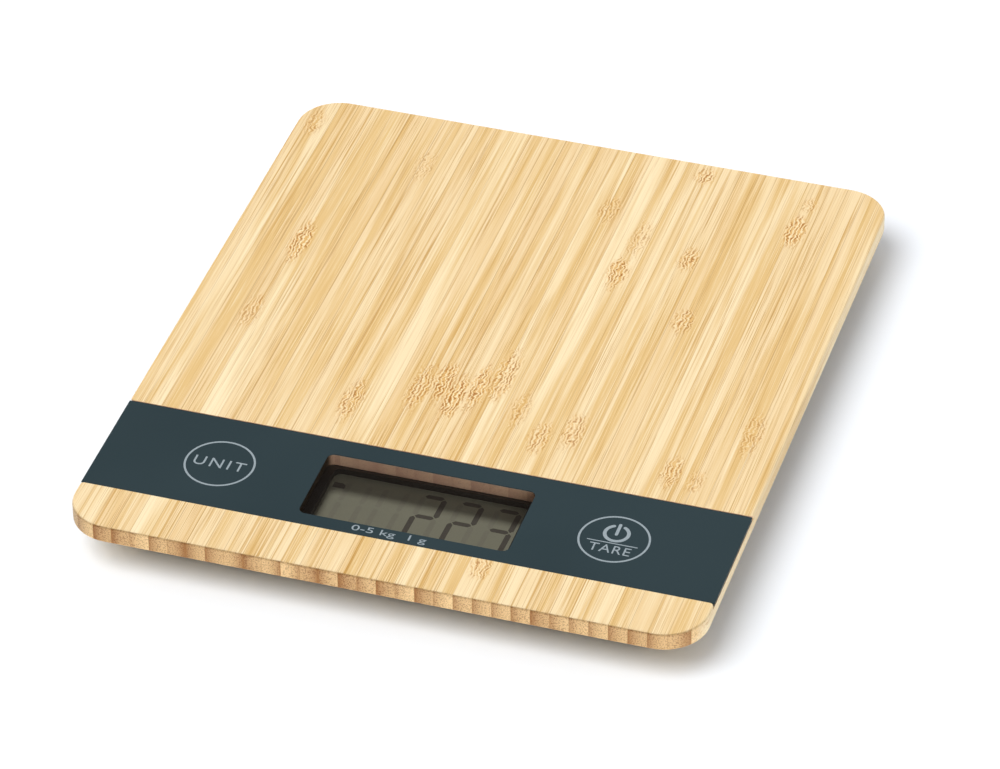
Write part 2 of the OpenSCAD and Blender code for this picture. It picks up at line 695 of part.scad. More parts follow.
module battery_holder() {
  color([0.2, 0.2, 0.22]) translate([0, battery_y, 0]) difference() {
    union() {
      translate([0, 0, ring_z]) cylinder(r = ring_r, h = holder_flange_t);
      translate([0, 0, ring_z]) cylinder(r = well_r + 1.2, h = holder_top - ring_z);
      for (sx = [-1, 1]) {
        translate([sx * holder_screw_x, 0, ring_z]) cylinder(r = post_r, h = holder_flange_t);
        translate([sx > 0 ? 0 : -holder_screw_x, -post_r, ring_z])
          cube([holder_screw_x, 2 * post_r, holder_flange_t]);
      }
    }
    translate([0, 0, ring_z - over]) cylinder(r = well_r, h = well_z - ring_z + over);
    // slots for the two contacts
    translate([-3, -well_r - 3, well_z - 0.9]) cube([6, 6, 0.9]);
    rotate([0, 0, -60]) translate([well_r - 1, -0.5, ring_z + holder_flange_t]) cube([3, 1, 2.2]);
    for (sx = [-1, 1]) translate([sx * holder_screw_x, 0, ring_z - over])
      cylinder(d = screw_d + 2 * small_gap, h = holder_flange_t + 2 * over);
  }
}

module holder_screws() {
  color("silver") screws_down([for (sx = [-1, 1]) [sx * holder_screw_x, battery_y]], ring_z + holder_flange_t,
    holder_flange_t + ring_z - tray_z - 0.8);
}

module coin_cell() {
  cap_t = 0.3;
  color([0.8, 0.81, 0.82]) translate([0, battery_y, cell_z]) {
    cylinder(d = battery_d, h = battery_t - cap_t);
    translate([0, 0, battery_t - cap_t]) cylinder(d = battery_d - 3, h = cap_t);
  }
}

// leaf spring under the holder's roof, pressing on the cell's cap
module contact_negative() {
  cap_z = cell_z + battery_t;
  leaf = [[-well_r - 4, well_z - contact_t - fit], [-well_r - 4, well_z - fit], [6, well_z - fit],
    [6, well_z - contact_t - fit], [-1, well_z - contact_t - fit], [5, cap_z + contact_t], [5.4, cap_z],
    [4.4, cap_z], [-3, well_z - contact_t - fit]];
  color("gold") translate([-2, battery_y, 0]) rotate([90, 0, 90]) linear_extrude(4) polygon(leaf);
}

// curved leaf against the side of the cell, with a tail through the holder's wall
module contact_positive() {
  color("gold") translate([0, battery_y, 0]) {
    sector(battery_d / 2 + fit, battery_d / 2 + 0.26, cell_z + 0.6, battery_t - 1.4, -60, 30);
    rotate([0, 0, -60]) translate([battery_d / 2 + 0.1, -contact_t / 2, ring_z + holder_flange_t + 0.2])
      cube([3.4, contact_t, 1.6]);
  }
}

module battery_wires() {
  end_a = [-0.6, battery_y - well_r - 3.6, well_z + wire_r + fit];
  end_b = [(battery_d / 2 + 3.5) * cos(60) + wire_r + 0.2,
    battery_y - (battery_d / 2 + 3.3) * sin(60), wire_z];
  color("black") for (w = [[end_a, -1.5, 0.6], [end_b, 1.5, 0]]) {
    tube(smooth([w[0], w[0] + [0, -2.5, -w[2]], [w[1] * 2, battery_y - ring_r - 6, wire_z],
      [w[1], (battery_y + pcb_rear_y) / 2 - 8, wire_z], [w[1] * 1.6, pcb_rear_y + 8, wire_z],
      [w[1], pcb_rear_y + 1, pad_z + 0.4], [w[1], pcb_rear_y - 1.2, pad_z]]), wire_r);
  }
}

// twist-lock cover with a coin slot; it lies flush with the tray's underside
module battery_cover() {
  slot_l = 16;
  slot_w = 1.8;
  color([0.13, 0.13, 0.13]) translate([0, battery_y, 0]) difference() {
    union() {
      translate([0, 0, tray_z]) cylinder(r = plug_r, h = cover_top - tray_z);
      for (k = [0:2]) sector(plug_r - over, lug_r, tray_z + lip_t + 0.1, lug_t, 120 * k, lug_angle);
    }
    translate([-slot_l / 2, -slot_w / 2, tray_z - over]) cube([slot_l, slot_w, 0.9 + over]);
    // moulded lock mark
    rotate([0, 0, -60]) translate([plug_r - 2.6, 0, tray_z - over]) cylinder(d = 1.6, h = over + 0.3);
  }
}

// ---------------------------------------------------------------- nodes

platform_board();
control_lens();
control_overlay();
lens_adhesive();
display_frame();
lcd_front_polariser();
lcd_front_glass();
lcd_rear_glass();
lcd_reflector();
zebra_strip();
main_board();
board_chips();
board_screws();
frame_screws();
touch_board(-1);  // touch_board_left
touch_board(1);  // touch_board_right
touch_spring(-1);  // touch_spring_left
touch_spring(1);  // touch_spring_right
touch_wires();
base_tray();
base_screws();
load_cell(FL);  // load_cell_front_left
load_cell(FR);  // load_cell_front_right
load_cell(RL);  // load_cell_rear_left
load_cell(RR);  // load_cell_rear_right
strain_gauge(FL);  // strain_gauge_front_left
strain_gauge(FR);  // strain_gauge_front_right
strain_gauge(RL);  // strain_gauge_rear_left
strain_gauge(RR);  // strain_gauge_rear_right
cell_clamp(FL);  // cell_clamp_front_left
cell_clamp(FR);  // cell_clamp_front_right
cell_clamp(RL);  // cell_clamp_rear_left
cell_clamp(RR);  // cell_clamp_rear_right
clamp_screws();
foot_plunger(FL);  // foot_plunger_front_left
foot_plunger(FR);  // foot_plunger_front_right
foot_plunger(RL);  // foot_plunger_rear_left
foot_plunger(RR);  // foot_plunger_rear_right
foot_pad(FL);  // foot_pad_front_left
foot_pad(FR);  // foot_pad_front_right
foot_pad(RL);  // foot_pad_rear_left
foot_pad(RR);  // foot_pad_rear_right
cell_wires(FL);  // cell_wires_front_left
cell_wires(FR);  // cell_wires_front_right
cell_wires(RL);  // cell_wires_rear_left
cell_wires(RR);  // cell_wires_rear_right
battery_holder();
holder_screws();
coin_cell();
contact_positive();
contact_negative();
battery_wires();
battery_cover();
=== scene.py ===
"""Kitchen scale: materials, printing, display segments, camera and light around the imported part."""

import json
import math

import bmesh
import bpy
from mathutils import Matrix, Quaternion, Vector


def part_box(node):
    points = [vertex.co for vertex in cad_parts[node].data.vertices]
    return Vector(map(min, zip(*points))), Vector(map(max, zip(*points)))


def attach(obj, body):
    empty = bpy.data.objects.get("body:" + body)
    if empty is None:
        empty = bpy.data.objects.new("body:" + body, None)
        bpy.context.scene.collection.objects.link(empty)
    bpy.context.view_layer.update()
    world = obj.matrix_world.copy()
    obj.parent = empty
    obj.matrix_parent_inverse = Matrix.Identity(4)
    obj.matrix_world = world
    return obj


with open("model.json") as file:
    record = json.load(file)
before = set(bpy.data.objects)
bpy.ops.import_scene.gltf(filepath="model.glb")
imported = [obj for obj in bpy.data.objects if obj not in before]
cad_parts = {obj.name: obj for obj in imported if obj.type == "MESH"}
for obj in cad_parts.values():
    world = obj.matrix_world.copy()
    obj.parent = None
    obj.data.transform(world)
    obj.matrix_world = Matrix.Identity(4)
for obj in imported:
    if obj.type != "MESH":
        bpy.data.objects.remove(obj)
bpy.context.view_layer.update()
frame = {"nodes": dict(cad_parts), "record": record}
NODES = frame["nodes"]
MM = 0.001


def middle_of(node):
    """The middle of a node's box, in millimetres."""
    low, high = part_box(node)
    return (low + high) / 2 / MM


# ---------------------------------------------------------------- node helpers


def srgb(red, green, blue):
    """A colour given as 0-255 screen values, as the linear colour shaders take."""

    def linear(value):
        value /= 255
        return value / 12.92 if value <= 0.04045 else ((value + 0.055) / 1.055) ** 2.4

    return (linear(red), linear(green), linear(blue), 1)


def toned(colour, factor):
    """The same colour, lighter for a factor above 1 and darker below it."""
    return tuple(min(1, part * factor) for part in colour[:3]) + (1,)


class Shader:
    """A material and short ways to add nodes to it. Its places are in millimetres."""

    def __init__(self, name, **values):
        self.material = bpy.data.materials.new(name)
        self.material.use_nodes = True
        self.tree = self.material.node_tree
        self.main = self.tree.nodes["Principled BSDF"]
        self.fill(self.main, **values)
        metres = self.node("ShaderNodeTexCoord").outputs["Object"]
        millimetres = self.node("ShaderNodeVectorMath", metres, operation="SCALE")
        self.fill(millimetres, Scale=1 / MM)
        self.place = millimetres.outputs["Vector"]

    def feed(self, socket, source):
        """Link a socket to another node's socket, or set its value."""
        if isinstance(source, bpy.types.NodeSocket):
            self.tree.links.new(source, socket)
        else:
            socket.default_value = source

    def fill(self, node, **sources):
        """Feed a node's sockets by name, with _ for each space."""
        for name, source in sources.items():
            self.feed(node.inputs[name.replace("_", " ")], source)

    def node(self, kind, *sources, **settings):
        """A new node with its settings, and its first sockets fed in order."""
        node = self.tree.nodes.new(kind)
        for name, value in settings.items():
            setattr(node, name, value)
        for socket, source in zip(node.inputs, sources):
            self.feed(socket, source)
        return node

    def math(self, operation, *sources):
        return self.node("ShaderNodeMath", *sources, operation=operation).outputs[0]

    def plus(self, a, b):
        return self.math("ADD", a, b)

    def minus(self, a, b):
        return self.math("SUBTRACT", a, b)

    def times(self, first, *others):
        for other in others:
            first = self.math("MULTIPLY", first, other)
        return first

    def vector(self, operation, *sources):
        node = self.node("ShaderNodeVectorMath", *sources, operation=operation)
        return node.outputs["Value" if operation == "LENGTH" else "Vector"]

    def split(self, vector):
        return self.node("ShaderNodeSeparateXYZ", vector).outputs

    def noise(self, place, scale, detail=2.0, roughness=0.5):
        """Noise from 0 to 1, with about scale waves for each millimetre."""
        node = self.node("ShaderNodeTexNoise")
        self.fill(node, Vector=place, Scale=scale, Detail=detail, Roughness=roughness)
        return node.outputs["Fac"]

    def stretched(self, place, scales, detail, roughness):
        """The same noise with a scale of its own along X, Y and Z."""
        return self.noise(self.vector("MULTIPLY", place, scales), 1.0, detail, roughness)

    def step(self, value, low, high):
        """0 at low and 1 at high, smooth between them and even beyond them, in either order."""
        node = self.node("ShaderNodeMapRange", interpolation_type="SMOOTHSTEP")
        self.fill(node, Value=value, From_Min=low, From_Max=high)
        return node.outputs[0]

    def between(self, share, low, high):
        """low where share is 0, high where it is 1."""
        node = self.node("ShaderNodeMapRange")
        self.fill(node, Value=share, To_Min=low, To_Max=high)
        return node.outputs[0]

    def mix(self, share, a, b):
        """Colour a where share is 0, colour b where it is 1."""
        node = self.node("ShaderNodeMix", share, data_type="RGBA")
        colour_a, colour_b = node.inputs[6:8]
        self.feed(colour_a, a)
        self.feed(colour_b, b)
        return node.outputs[2]  # the colour

    def colour(self, source):
        self.fill(self.main, Base_Color=source)

    def rough(self, source):
        self.fill(self.main, Roughness=source)

    def bump(self, height, depth_mm, strength=1.0):
        node = self.node("ShaderNodeBump")
        self.fill(node, Height=height, Strength=strength, Distance=depth_mm * MM)
        self.fill(self.main, Normal=node.outputs[0])


# ---------------------------------------------------------------- bamboo

STRIP = 5.1  # width of one bamboo strip
STRIP_START = -86.0  # X where a strip starts, just left of the board
# knuckles of the bamboo on the top: x, y, half width, half length, strength
KNUCKLES = [
    (-65.1, 33, 2.6, 9, 1.0),
    (-67.4, -1, 2.4, 7, 0.6),
    (-29.1, -31, 2.6, 8, 0.8),
    (-13.6, -20, 2.6, 9, 0.8),
    (-8.0, -16, 2.6, 8, 0.9),
    (-3.6, -22, 2.6, 8, 1.0),
    (1.5, -16, 2.5, 9, 0.9),
    (6.4, -9, 2.6, 10, 0.8),
    (14.7, -22, 2.4, 7, 0.5),
    (23.1, -32, 2.6, 6, 0.7),
    (30.9, -27, 2.6, 7, 0.7),
    (21.8, 44, 2.6, 7, 0.9),
    (23.3, 60, 2.5, 8, 0.5),
    (11.5, 71, 2.6, 6, 0.5),
    (45, 28, 2.6, 5, 0.8),
    (38.6, 55, 2.6, 5, 0.8),
    (63, 76, 2.6, 7, 1.0),
    (63.8, 89, 2.4, 3, 0.5),
    (76, -15, 2.6, 9, 0.5),
    (-43.6, 76, 2.4, 7, 0.4),
    (-79.9, 88, 2.4, 6, 0.5),
    (32.5, 94, 2.5, 4, 0.8),
    (24.3, -88, 2.6, 4, 0.7),
    (60.1, -36, 2.5, 6, 0.7),
    (67.0, -38, 2.4, 4, 0.5),
]


def knuckle_mask(shader):
    """Each knuckle's strength in its middle, fading to 0 along a ragged outline."""
    ragged = shader.stretched(shader.place, (1.2, 0.25, 1.2), 2, 0.6)
    ragged = shader.math("MULTIPLY_ADD", ragged, 1.3, -0.65)
    mask = None
    for x, y, half_width, half_length, strength in KNUCKLES:
        offset = shader.vector("SUBTRACT", shader.place, (x, y, 0))
        scaled = shader.vector("MULTIPLY", offset, (1 / half_width, 1 / half_length, 0))
        away = shader.plus(shader.vector("LENGTH", scaled), ragged)
        near = shader.times(shader.step(away, 1.4, 0.6), strength)
        mask = near if mask is None else shader.math("MAXIMUM", mask, near)
    return mask


def strip_values(shader, x):
    """How far across its strip x is, from 0 to 1, and four random values that each strip has."""
    across = shader.math("DIVIDE", shader.minus(x, STRIP_START), STRIP)
    random = shader.node("ShaderNodeTexWhiteNoise", noise_dimensions="1D")
    shader.fill(random, W=shader.math("FLOOR", across))
    others = shader.node("ShaderNodeSeparateColor", random.outputs["Color"]).outputs
    return shader.math("FRACT", across), random.outputs["Value"], *others


def long_grain(shader, place, tone, lively):
    """Calm stretches between bundles of thin dark lines: their colour, streaks and fibres."""
    broad = shader.stretched(place, (0.30, 0.009, 0.30), 2.5, 0.55)
    patch = shader.stretched(place, (0.22, 0.012, 0.22), 2.0, 0.5)
    streak = shader.stretched(place, (1.3, 0.011, 1.3), 3.0, 0.6)
    fibre = shader.stretched(place, (4.6, 0.028, 4.6), 3.0, 0.65)
    busy = shader.times(shader.step(patch, 0.36, 0.60), shader.between(lively, 0.55, 1.0))
    colour = shader.mix(tone, srgb(252, 231, 189), srgb(239, 208, 158))
    colour = shader.mix(shader.step(broad, 0.40, 0.66), colour, srgb(231, 195, 134))
    dark = shader.times(shader.step(streak, 0.52, 0.70), shader.between(busy, 0.45, 0.95))
    colour = shader.mix(dark, colour, srgb(208, 161, 88))
    fine = shader.times(shader.step(fibre, 0.52, 0.66), shader.between(busy, 0.18, 0.90))
    colour = shader.mix(fine, colour, srgb(192, 143, 68))
    pale = shader.times(shader.step(fibre, 0.46, 0.34), 0.5)
    return shader.mix(pale, colour, srgb(255, 241, 206)), streak, fibre


def knuckle_lines(shader, colour, knuckle, x, place):
    """Wavy dark lines on a golden ground, with a painted highlight between them: colour and lines."""
    wave = shader.stretched(shader.place, (0.24, 0.30, 0.24), 3, 0.6)
    ground = shader.times(knuckle, shader.between(wave, 0.2, 1.0))
    colour = shader.mix(ground, colour, srgb(226, 172, 90))
    phase = shader.math("MULTIPLY_ADD", x, 0.95, shader.times(wave, 4.2))
    ripple = shader.math("SINE", shader.times(phase, math.tau))
    broken = shader.step(shader.stretched(place, (1.3, 0.30, 1.3), 2.0, 0.55), 0.42, 0.56)
    lines = shader.times(shader.step(ripple, 0.1, 0.85), broken, knuckle)
    colour = shader.mix(shader.times(lines, 0.95), colour, srgb(164, 98, 26))
    # painted highlight: near-white colour in the troughs of the ripple on each knuckle
    painted_highlight = shader.times(shader.step(ripple, -0.3, -0.9), knuckle, 0.75)
    return shader.mix(painted_highlight, colour, srgb(255, 243, 205)), lines


def end_grain(shader, place, share, tone, turned):
    """Each strip is denser and darker towards one side, which is the other side if turned."""
    side = shader.math("ABSOLUTE", shader.minus(share, turned))
    outer = shader.math("POWER", side, 2.2)
    dense = shader.math("MULTIPLY_ADD", outer, 0.65, shader.times(tone, 0.5))
    ground = shader.mix(dense, srgb(238, 202, 146), srgb(160, 108, 54))
    dots = shader.step(shader.stretched(place, (3.0, 0.05, 3.0), 2.0, 0.6), 0.51, 0.59)
    dots = shader.times(dots, shader.between(dense, 0.45, 1.0))
    return shader.mix(dots, ground, srgb(134, 84, 38))


def bamboo():
    """Bamboo strips glued side by side along Y: long grain on top, end grain front and back."""
    shader = Shader("bamboo", IOR=1.45)
    x, y, z = shader.split(shader.place)
    normal = shader.node("ShaderNodeNewGeometry").outputs["True Normal"]
    facing_x, facing_y, _ = shader.split(normal)
    share, tone, random_a, random_b, random_c = strip_values(shader, x)

    # each strip is cut from another part of the grain, and the grain bends at a knuckle
    knuckle = knuckle_mask(shader)
    sway = shader.minus(shader.stretched(shader.place, (0.30, 0.36, 0.30), 2, 0.55), 0.5)
    bent_x = shader.plus(x, shader.times(knuckle, sway, 4.2))
    place = shader.node(
        "ShaderNodeCombineXYZ",
        shader.math("MULTIPLY_ADD", random_a, 90.0, bent_x),
        shader.math("MULTIPLY_ADD", random_b, 900.0, y),
        shader.math("MULTIPLY_ADD", random_c, 70.0, z),
    ).outputs[0]

    along, streak, fibre = long_grain(shader, place, tone, random_a)
    along, lines = knuckle_lines(shader, along, knuckle, x, place)
    turned = shader.math("GREATER_THAN", random_c, 0.25)
    across = end_grain(shader, place, share, tone, turned)
    on_end = shader.step(shader.math("ABSOLUTE", facing_y), 0.15, 0.75)
    wood = shader.mix(on_end, along, across)

    # glue lines between the strips
    off_middle = shader.math("ABSOLUTE", shader.minus(share, 0.5))
    glue = shader.times(shader.step(off_middle, 0.468, 0.494), shader.between(random_a, 0.1, 0.65))
    wood = shader.mix(glue, wood, srgb(170, 120, 62))

    # painted light and painted shade: the window's back wall is painted lighter and pinker, and its
    # left wall is painted near black; the steps on y and x keep both marks off the board's front end
    # and right side
    painted_light_back_wall = shader.times(shader.step(facing_y, -0.3, -0.9), shader.step(y, -90, -80), 0.6)
    wood = shader.mix(painted_light_back_wall, wood, srgb(238, 196, 176))
    # painted shade: the window's left wall, which faces away from the key, is painted near black
    painted_shade_left_wall = shader.times(shader.step(facing_x, 0.3, 0.9), shader.step(x, 0, -10), 0.95)
    wood = shader.mix(painted_shade_left_wall, wood, srgb(44, 34, 27))

    shader.colour(wood)
    shader.rough(shader.between(fibre, 0.42, 0.62))
    relief = shader.plus(shader.times(fibre, 0.6), shader.times(streak, 0.4))
    relief = shader.minus(relief, shader.times(glue, 0.5))
    relief = shader.minus(relief, shader.times(lines, 0.3))
    shader.bump(relief, 0.05, 0.5)
    return shader.material


# ---------------------------------------------------------------- other materials


def moulded(name, colour, rough, grain, depth):
    """Moulded plastic or rubber: an even colour with a faint mottle and a spark-eroded grain."""
    shader = Shader(name)
    mottle = shader.noise(shader.place, 0.06, 3)
    mottled = shader.step(mottle, 0.35, 0.65)
    shader.colour(shader.mix(mottled, toned(colour, 0.88), toned(colour, 1.12)))
    fine = shader.noise(shader.place, grain, 3, 0.6)
    worn = shader.math("MULTIPLY_ADD", fine, 0.5, shader.times(mottle, 0.5))
    shader.rough(shader.between(worn, rough - 0.08, rough + 0.10))
    shader.bump(fine, depth)
    return shader.material


def metal(name, colour, rough, stretch=(1, 1, 1)):
    """Bare metal with fine drawing or turning marks and slight staining."""
    shader = Shader(name, Metallic=1.0)
    stain = shader.noise(shader.place, 0.12, 3)
    shader.colour(shader.mix(shader.step(stain, 0.40, 0.75), colour, toned(colour, 0.72)))
    marks = shader.noise(shader.vector("MULTIPLY", shader.place, stretch), 1.2, 3, 0.6)
    shader.rough(shader.between(marks, rough - 0.08, rough + 0.14))
    shader.bump(marks, 0.006)
    return shader.material


def printed_film():
    """Dark blue-grey print with a fine satin grain."""
    shader = Shader("printed_film", IOR=1.4, Specular_IOR_Level=0.35)
    cloud = shader.noise(shader.place, 0.02, 2)
    shader.colour(shader.mix(shader.step(cloud, 0.3, 0.7), srgb(43, 58, 63), srgb(47, 62, 67)))
    grain = shader.noise(shader.place, 5.0, 2, 0.6)
    shader.rough(shader.between(grain, 0.42, 0.56))
    shader.bump(grain, 0.004)
    return shader.material


def smoked_sheet():
    """Clear acrylic with a brown-grey tint; the tint is an even alpha on both faces."""
    shader = Shader("smoked_sheet", Alpha=0.15, IOR=1.49, Specular_IOR_Level=0.3)
    ripple = shader.noise(shader.place, 0.03, 1)
    shader.colour(shader.mix(ripple, srgb(34, 27, 21), srgb(40, 32, 25)))
    shader.rough(shader.between(ripple, 0.04, 0.09))
    return shader.material


def polariser():
    """The grey-green satin film on the display's front glass."""
    shader = Shader("polariser", IOR=1.45, Specular_IOR_Level=0.25)
    cloud = shader.noise(shader.place, 0.05, 2)
    shader.colour(shader.mix(cloud, srgb(138, 137, 119), srgb(146, 145, 126)))
    grain = shader.noise(shader.place, 6.0, 2, 0.6)
    shader.rough(shader.between(grain, 0.38, 0.52))
    shader.bump(grain, 0.002)
    return shader.material


def segment_ink(name, low, high):
    """A display segment, between two near shades."""
    shader = Shader(name, IOR=1.45, Specular_IOR_Level=0.2)
    soft = shader.noise(shader.place, 0.4, 2)
    shader.colour(shader.mix(soft, low, high))
    shader.rough(shader.between(soft, 0.4, 0.5))
    return shader.material


def print_ink():
    """Pale grey screen print, slightly speckled."""
    shader = Shader("print_ink", IOR=1.45, Specular_IOR_Level=0.3)
    speck = shader.noise(shader.place, 3.0, 3, 0.6)
    speckled = shader.step(speck, 0.35, 0.7)
    shader.colour(shader.mix(speckled, srgb(158, 169, 175), srgb(146, 158, 165)))
    shader.rough(shader.between(speck, 0.45, 0.6))
    shader.bump(speck, 0.004)
    return shader.material


def display_glass():
    """Thin clear glass with a faint green tint."""
    shader = Shader("display_glass", Alpha=0.22, IOR=1.5)
    tint = shader.noise(shader.place, 0.05, 1)
    shader.colour(shader.mix(tint, srgb(150, 172, 160), srgb(160, 180, 170)))
    shader.rough(shader.between(tint, 0.05, 0.1))
    return shader.material


def adhesive():
    """Cloudy double-sided adhesive sheet."""
    shader = Shader("adhesive", Alpha=0.75, IOR=1.47)
    swirl = shader.noise(shader.place, 0.5, 3, 0.6)
    shader.colour(shader.mix(swirl, srgb(196, 192, 178), srgb(212, 208, 196)))
    shader.rough(shader.between(swirl, 0.3, 0.6))
    shader.bump(swirl, 0.01)
    return shader.material


def circuit_board():
    """Green solder mask over copper tracks, with bare tinned pads."""
    shader = Shader("circuit_board")
    cells = shader.node("ShaderNodeTexBrick", offset=0.5)
    shader.fill(cells, Vector=shader.place, Scale=0.22, Mortar_Size=0.028)
    shader.fill(cells, Brick_Width=1.4, Row_Height=0.5)
    routed = shader.step(shader.noise(shader.place, 0.25, 1), 0.42, 0.5)
    tracks = shader.times(cells.outputs["Fac"], routed)
    mask = shader.mix(tracks, srgb(18, 74, 44), srgb(38, 112, 66))
    spots = shader.node("ShaderNodeTexVoronoi")
    shader.fill(spots, Vector=shader.place, Scale=0.28, Randomness=0.7)
    pads = shader.step(spots.outputs["Distance"], 0.20, 0.15)
    shader.colour(shader.mix(pads, mask, srgb(196, 198, 196)))
    shader.rough(shader.between(pads, 0.35, 0.28))
    shader.bump(shader.plus(tracks, pads), 0.03)
    return shader.material


def chip_resin():
    """Matt black moulding resin."""
    shader = Shader("chip_resin")
    grain = shader.noise(shader.place, 4.0, 3, 0.6)
    shader.colour(shader.mix(grain, srgb(30, 30, 32), srgb(48, 48, 50)))
    shader.rough(shader.between(grain, 0.45, 0.65))
    shader.bump(grain, 0.01)
    return shader.material


def connector_rubber():
    """Elastomer strip: thin conducting layers across its length."""
    shader = Shader("connector_rubber")
    x = shader.split(shader.place)[0]
    layers = shader.step(shader.math("PINGPONG", x, 0.25), 0.08, 0.16)
    shader.colour(shader.mix(layers, srgb(222, 176, 178), srgb(44, 42, 44)))
    shader.rough(shader.between(layers, 0.5, 0.65))
    shader.bump(layers, 0.01)
    return shader.material


def gauge_resin():
    """Lumpy off-white potting resin."""
    shader = Shader("gauge_resin")
    lumps = shader.noise(shader.place, 0.7, 3, 0.55)
    shader.colour(shader.mix(lumps, srgb(226, 226, 220), srgb(200, 198, 190)))
    shader.rough(shader.between(lumps, 0.3, 0.5))
    shader.bump(lumps, 0.12)
    return shader.material


def wire_cover():
    """Red vinyl, slightly scuffed."""
    shader = Shader("wire_cover")
    scuff = shader.noise(shader.place, 1.1, 3)
    shader.colour(shader.mix(shader.step(scuff, 0.4, 0.7), srgb(168, 30, 26), srgb(138, 22, 20)))
    shader.rough(shader.between(scuff, 0.38, 0.55))
    shader.bump(scuff, 0.01)
    return shader.material


def cell_steel():
    """Pressed steel can with a faint concentric polish and handling marks."""
    shader = Shader("cell_steel", Metallic=1.0)
    offset = shader.vector("SUBTRACT", shader.place, middle_of("coin_cell"))
    radius = shader.vector("LENGTH", shader.vector("MULTIPLY", offset, (1, 1, 0)))
    outward = shader.node("ShaderNodeCombineXYZ", radius).outputs[0]
    rings = shader.noise(outward, 3.0, 2)
    smear = shader.step(shader.noise(shader.place, 0.15, 3), 0.4, 0.7)
    shader.colour(shader.mix(smear, srgb(206, 205, 200), srgb(176, 175, 170)))
    shader.rough(shader.between(rings, 0.2, 0.36))
    shader.bump(rings, 0.004)
    return shader.material


MATERIALS = {
    "bamboo": bamboo(),
    "smoked_sheet": smoked_sheet(),
    "printed_film": printed_film(),
    "adhesive": adhesive(),
    "black_plastic": moulded("black_plastic", srgb(34, 33, 32), 0.42, grain=2.5, depth=0.008),
    "tray_plastic": moulded("tray_plastic", srgb(46, 47, 49), 0.5, grain=1.3, depth=0.03),
    "polariser": polariser(),
    "display_glass": display_glass(),
    "reflector": metal("reflector", srgb(190, 190, 184), 0.4),
    "connector_rubber": connector_rubber(),
    "circuit_board": circuit_board(),
    "chip_resin": chip_resin(),
    "screw_steel": metal("screw_steel", srgb(150, 150, 150), 0.3),
    "spring_metal": metal("spring_metal", srgb(196, 190, 176), 0.24),
    "wire_cover": wire_cover(),
    "load_cell_steel": metal("load_cell_steel", srgb(186, 188, 190), 0.32, (6, 0.2, 1)),
    "gauge_resin": gauge_resin(),
    "cell_steel": cell_steel(),
    "contact_metal": metal("contact_metal", srgb(206, 202, 190), 0.26, (1, 5, 1)),
    "foot_rubber": moulded("foot_rubber", srgb(58, 58, 60), 0.72, grain=0.9, depth=0.04),
}
for subpart in frame["record"]["subparts"]:
    node = NODES[subpart["node"]]
    node.data.materials.clear()
    node.data.materials.append(MATERIALS[subpart["material_slot"]])


# ---------------------------------------------------------------- thin printed pieces


def piece(name, bm, material):
    """A new object from a bmesh drawn in millimetres, riding on the scale's body."""
    bmesh.ops.scale(bm, vec=(MM, MM, MM), verts=bm.verts)
    bmesh.ops.recalc_face_normals(bm, faces=bm.faces)
    mesh = bpy.data.meshes.new(name)
    bm.to_mesh(mesh)
    bm.free()
    mesh.materials.append(material)
    obj = bpy.data.objects.new(name, mesh)
    bpy.context.scene.collection.objects.link(obj)
    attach(obj, "scale_body")


def plate(bm, outline, bottom, thickness, hole=None):
    """A closed plate with an outline of (x, y) points, and a hole with as many points."""
    top = bottom + thickness
    low, high = ([bm.verts.new((*point, z)) for point in outline] for z in (bottom, top))
    if hole:
        hole_low, hole_high = ([bm.verts.new((*point, z)) for point in hole] for z in (bottom, top))
    for i in range(len(outline)):
        j = (i + 1) % len(outline)
        bm.faces.new((low[i], low[j], high[j], high[i]))
        if hole:
            bm.faces.new((hole_low[j], hole_low[i], hole_high[i], hole_high[j]))
            bm.faces.new((low[i], low[j], hole_low[j], hole_low[i]))
            bm.faces.new((high[i], high[j], hole_high[j], hole_high[i]))
    if not hole:
        bm.faces.new(low)
        bm.faces.new(high)


def arc(centre, radius, start, end, count):
    """count + 1 points along an arc, from one angle to another in degrees."""
    angles = [math.radians(start + (end - start) * i / count) for i in range(count + 1)]
    return [
        (centre[0] + radius * math.cos(angle), centre[1] + radius * math.sin(angle))
        for angle in angles
    ]


# ---------------------------------------------------------------- printing on the film

INK = print_ink()
INK_THICKNESS = 0.02
FILM_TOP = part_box("control_overlay")[1].z / MM
# the print of each key lies a hair off the touch board under it
UNIT_KEY = middle_of("touch_board_left").xy + Vector((0.2, 0.1))
TARE_KEY = middle_of("touch_board_right").xy + Vector((0.2, -0.1))
RING_RADIUS, RING_LINE = 9.12, 0.55
DISPLAY = middle_of("lcd_front_polariser")


def key_ring(name, centre):
    """The printed circle around a key."""
    outer, inner = (
        arc(centre, RING_RADIUS + side * RING_LINE / 2, 0, 360, count=128)[:-1] for side in (1, -1)
    )
    bm = bmesh.new()
    plate(bm, outer, FILM_TOP, INK_THICKNESS, inner)
    piece(name, bm, INK)


def ink_line(name, points, width):
    """A printed band of even width along a line of points, with rounded ends."""
    half = width / 2
    left, right = [], []
    for i, (x, y) in enumerate(points):
        before_x, before_y = points[max(i - 1, 0)]
        after_x, after_y = points[min(i + 1, len(points) - 1)]
        length = math.hypot(after_x - before_x, after_y - before_y)
        side_x, side_y = -(after_y - before_y) / length, (after_x - before_x) / length
        left.append((x + side_x * half, y + side_y * half))
        right.append((x - side_x * half, y - side_y * half))

    def cap(centre, first):
        start = math.degrees(math.atan2(first[1] - centre[1], first[0] - centre[0]))
        return arc(centre, half, start, start - 180, count=6)[1:-1]

    outline = left + cap(points[-1], left[-1]) + right[::-1] + cap(points[0], right[0])
    bm = bmesh.new()
    plate(bm, outline, FILM_TOP, INK_THICKNESS)
    piece(name, bm, INK)


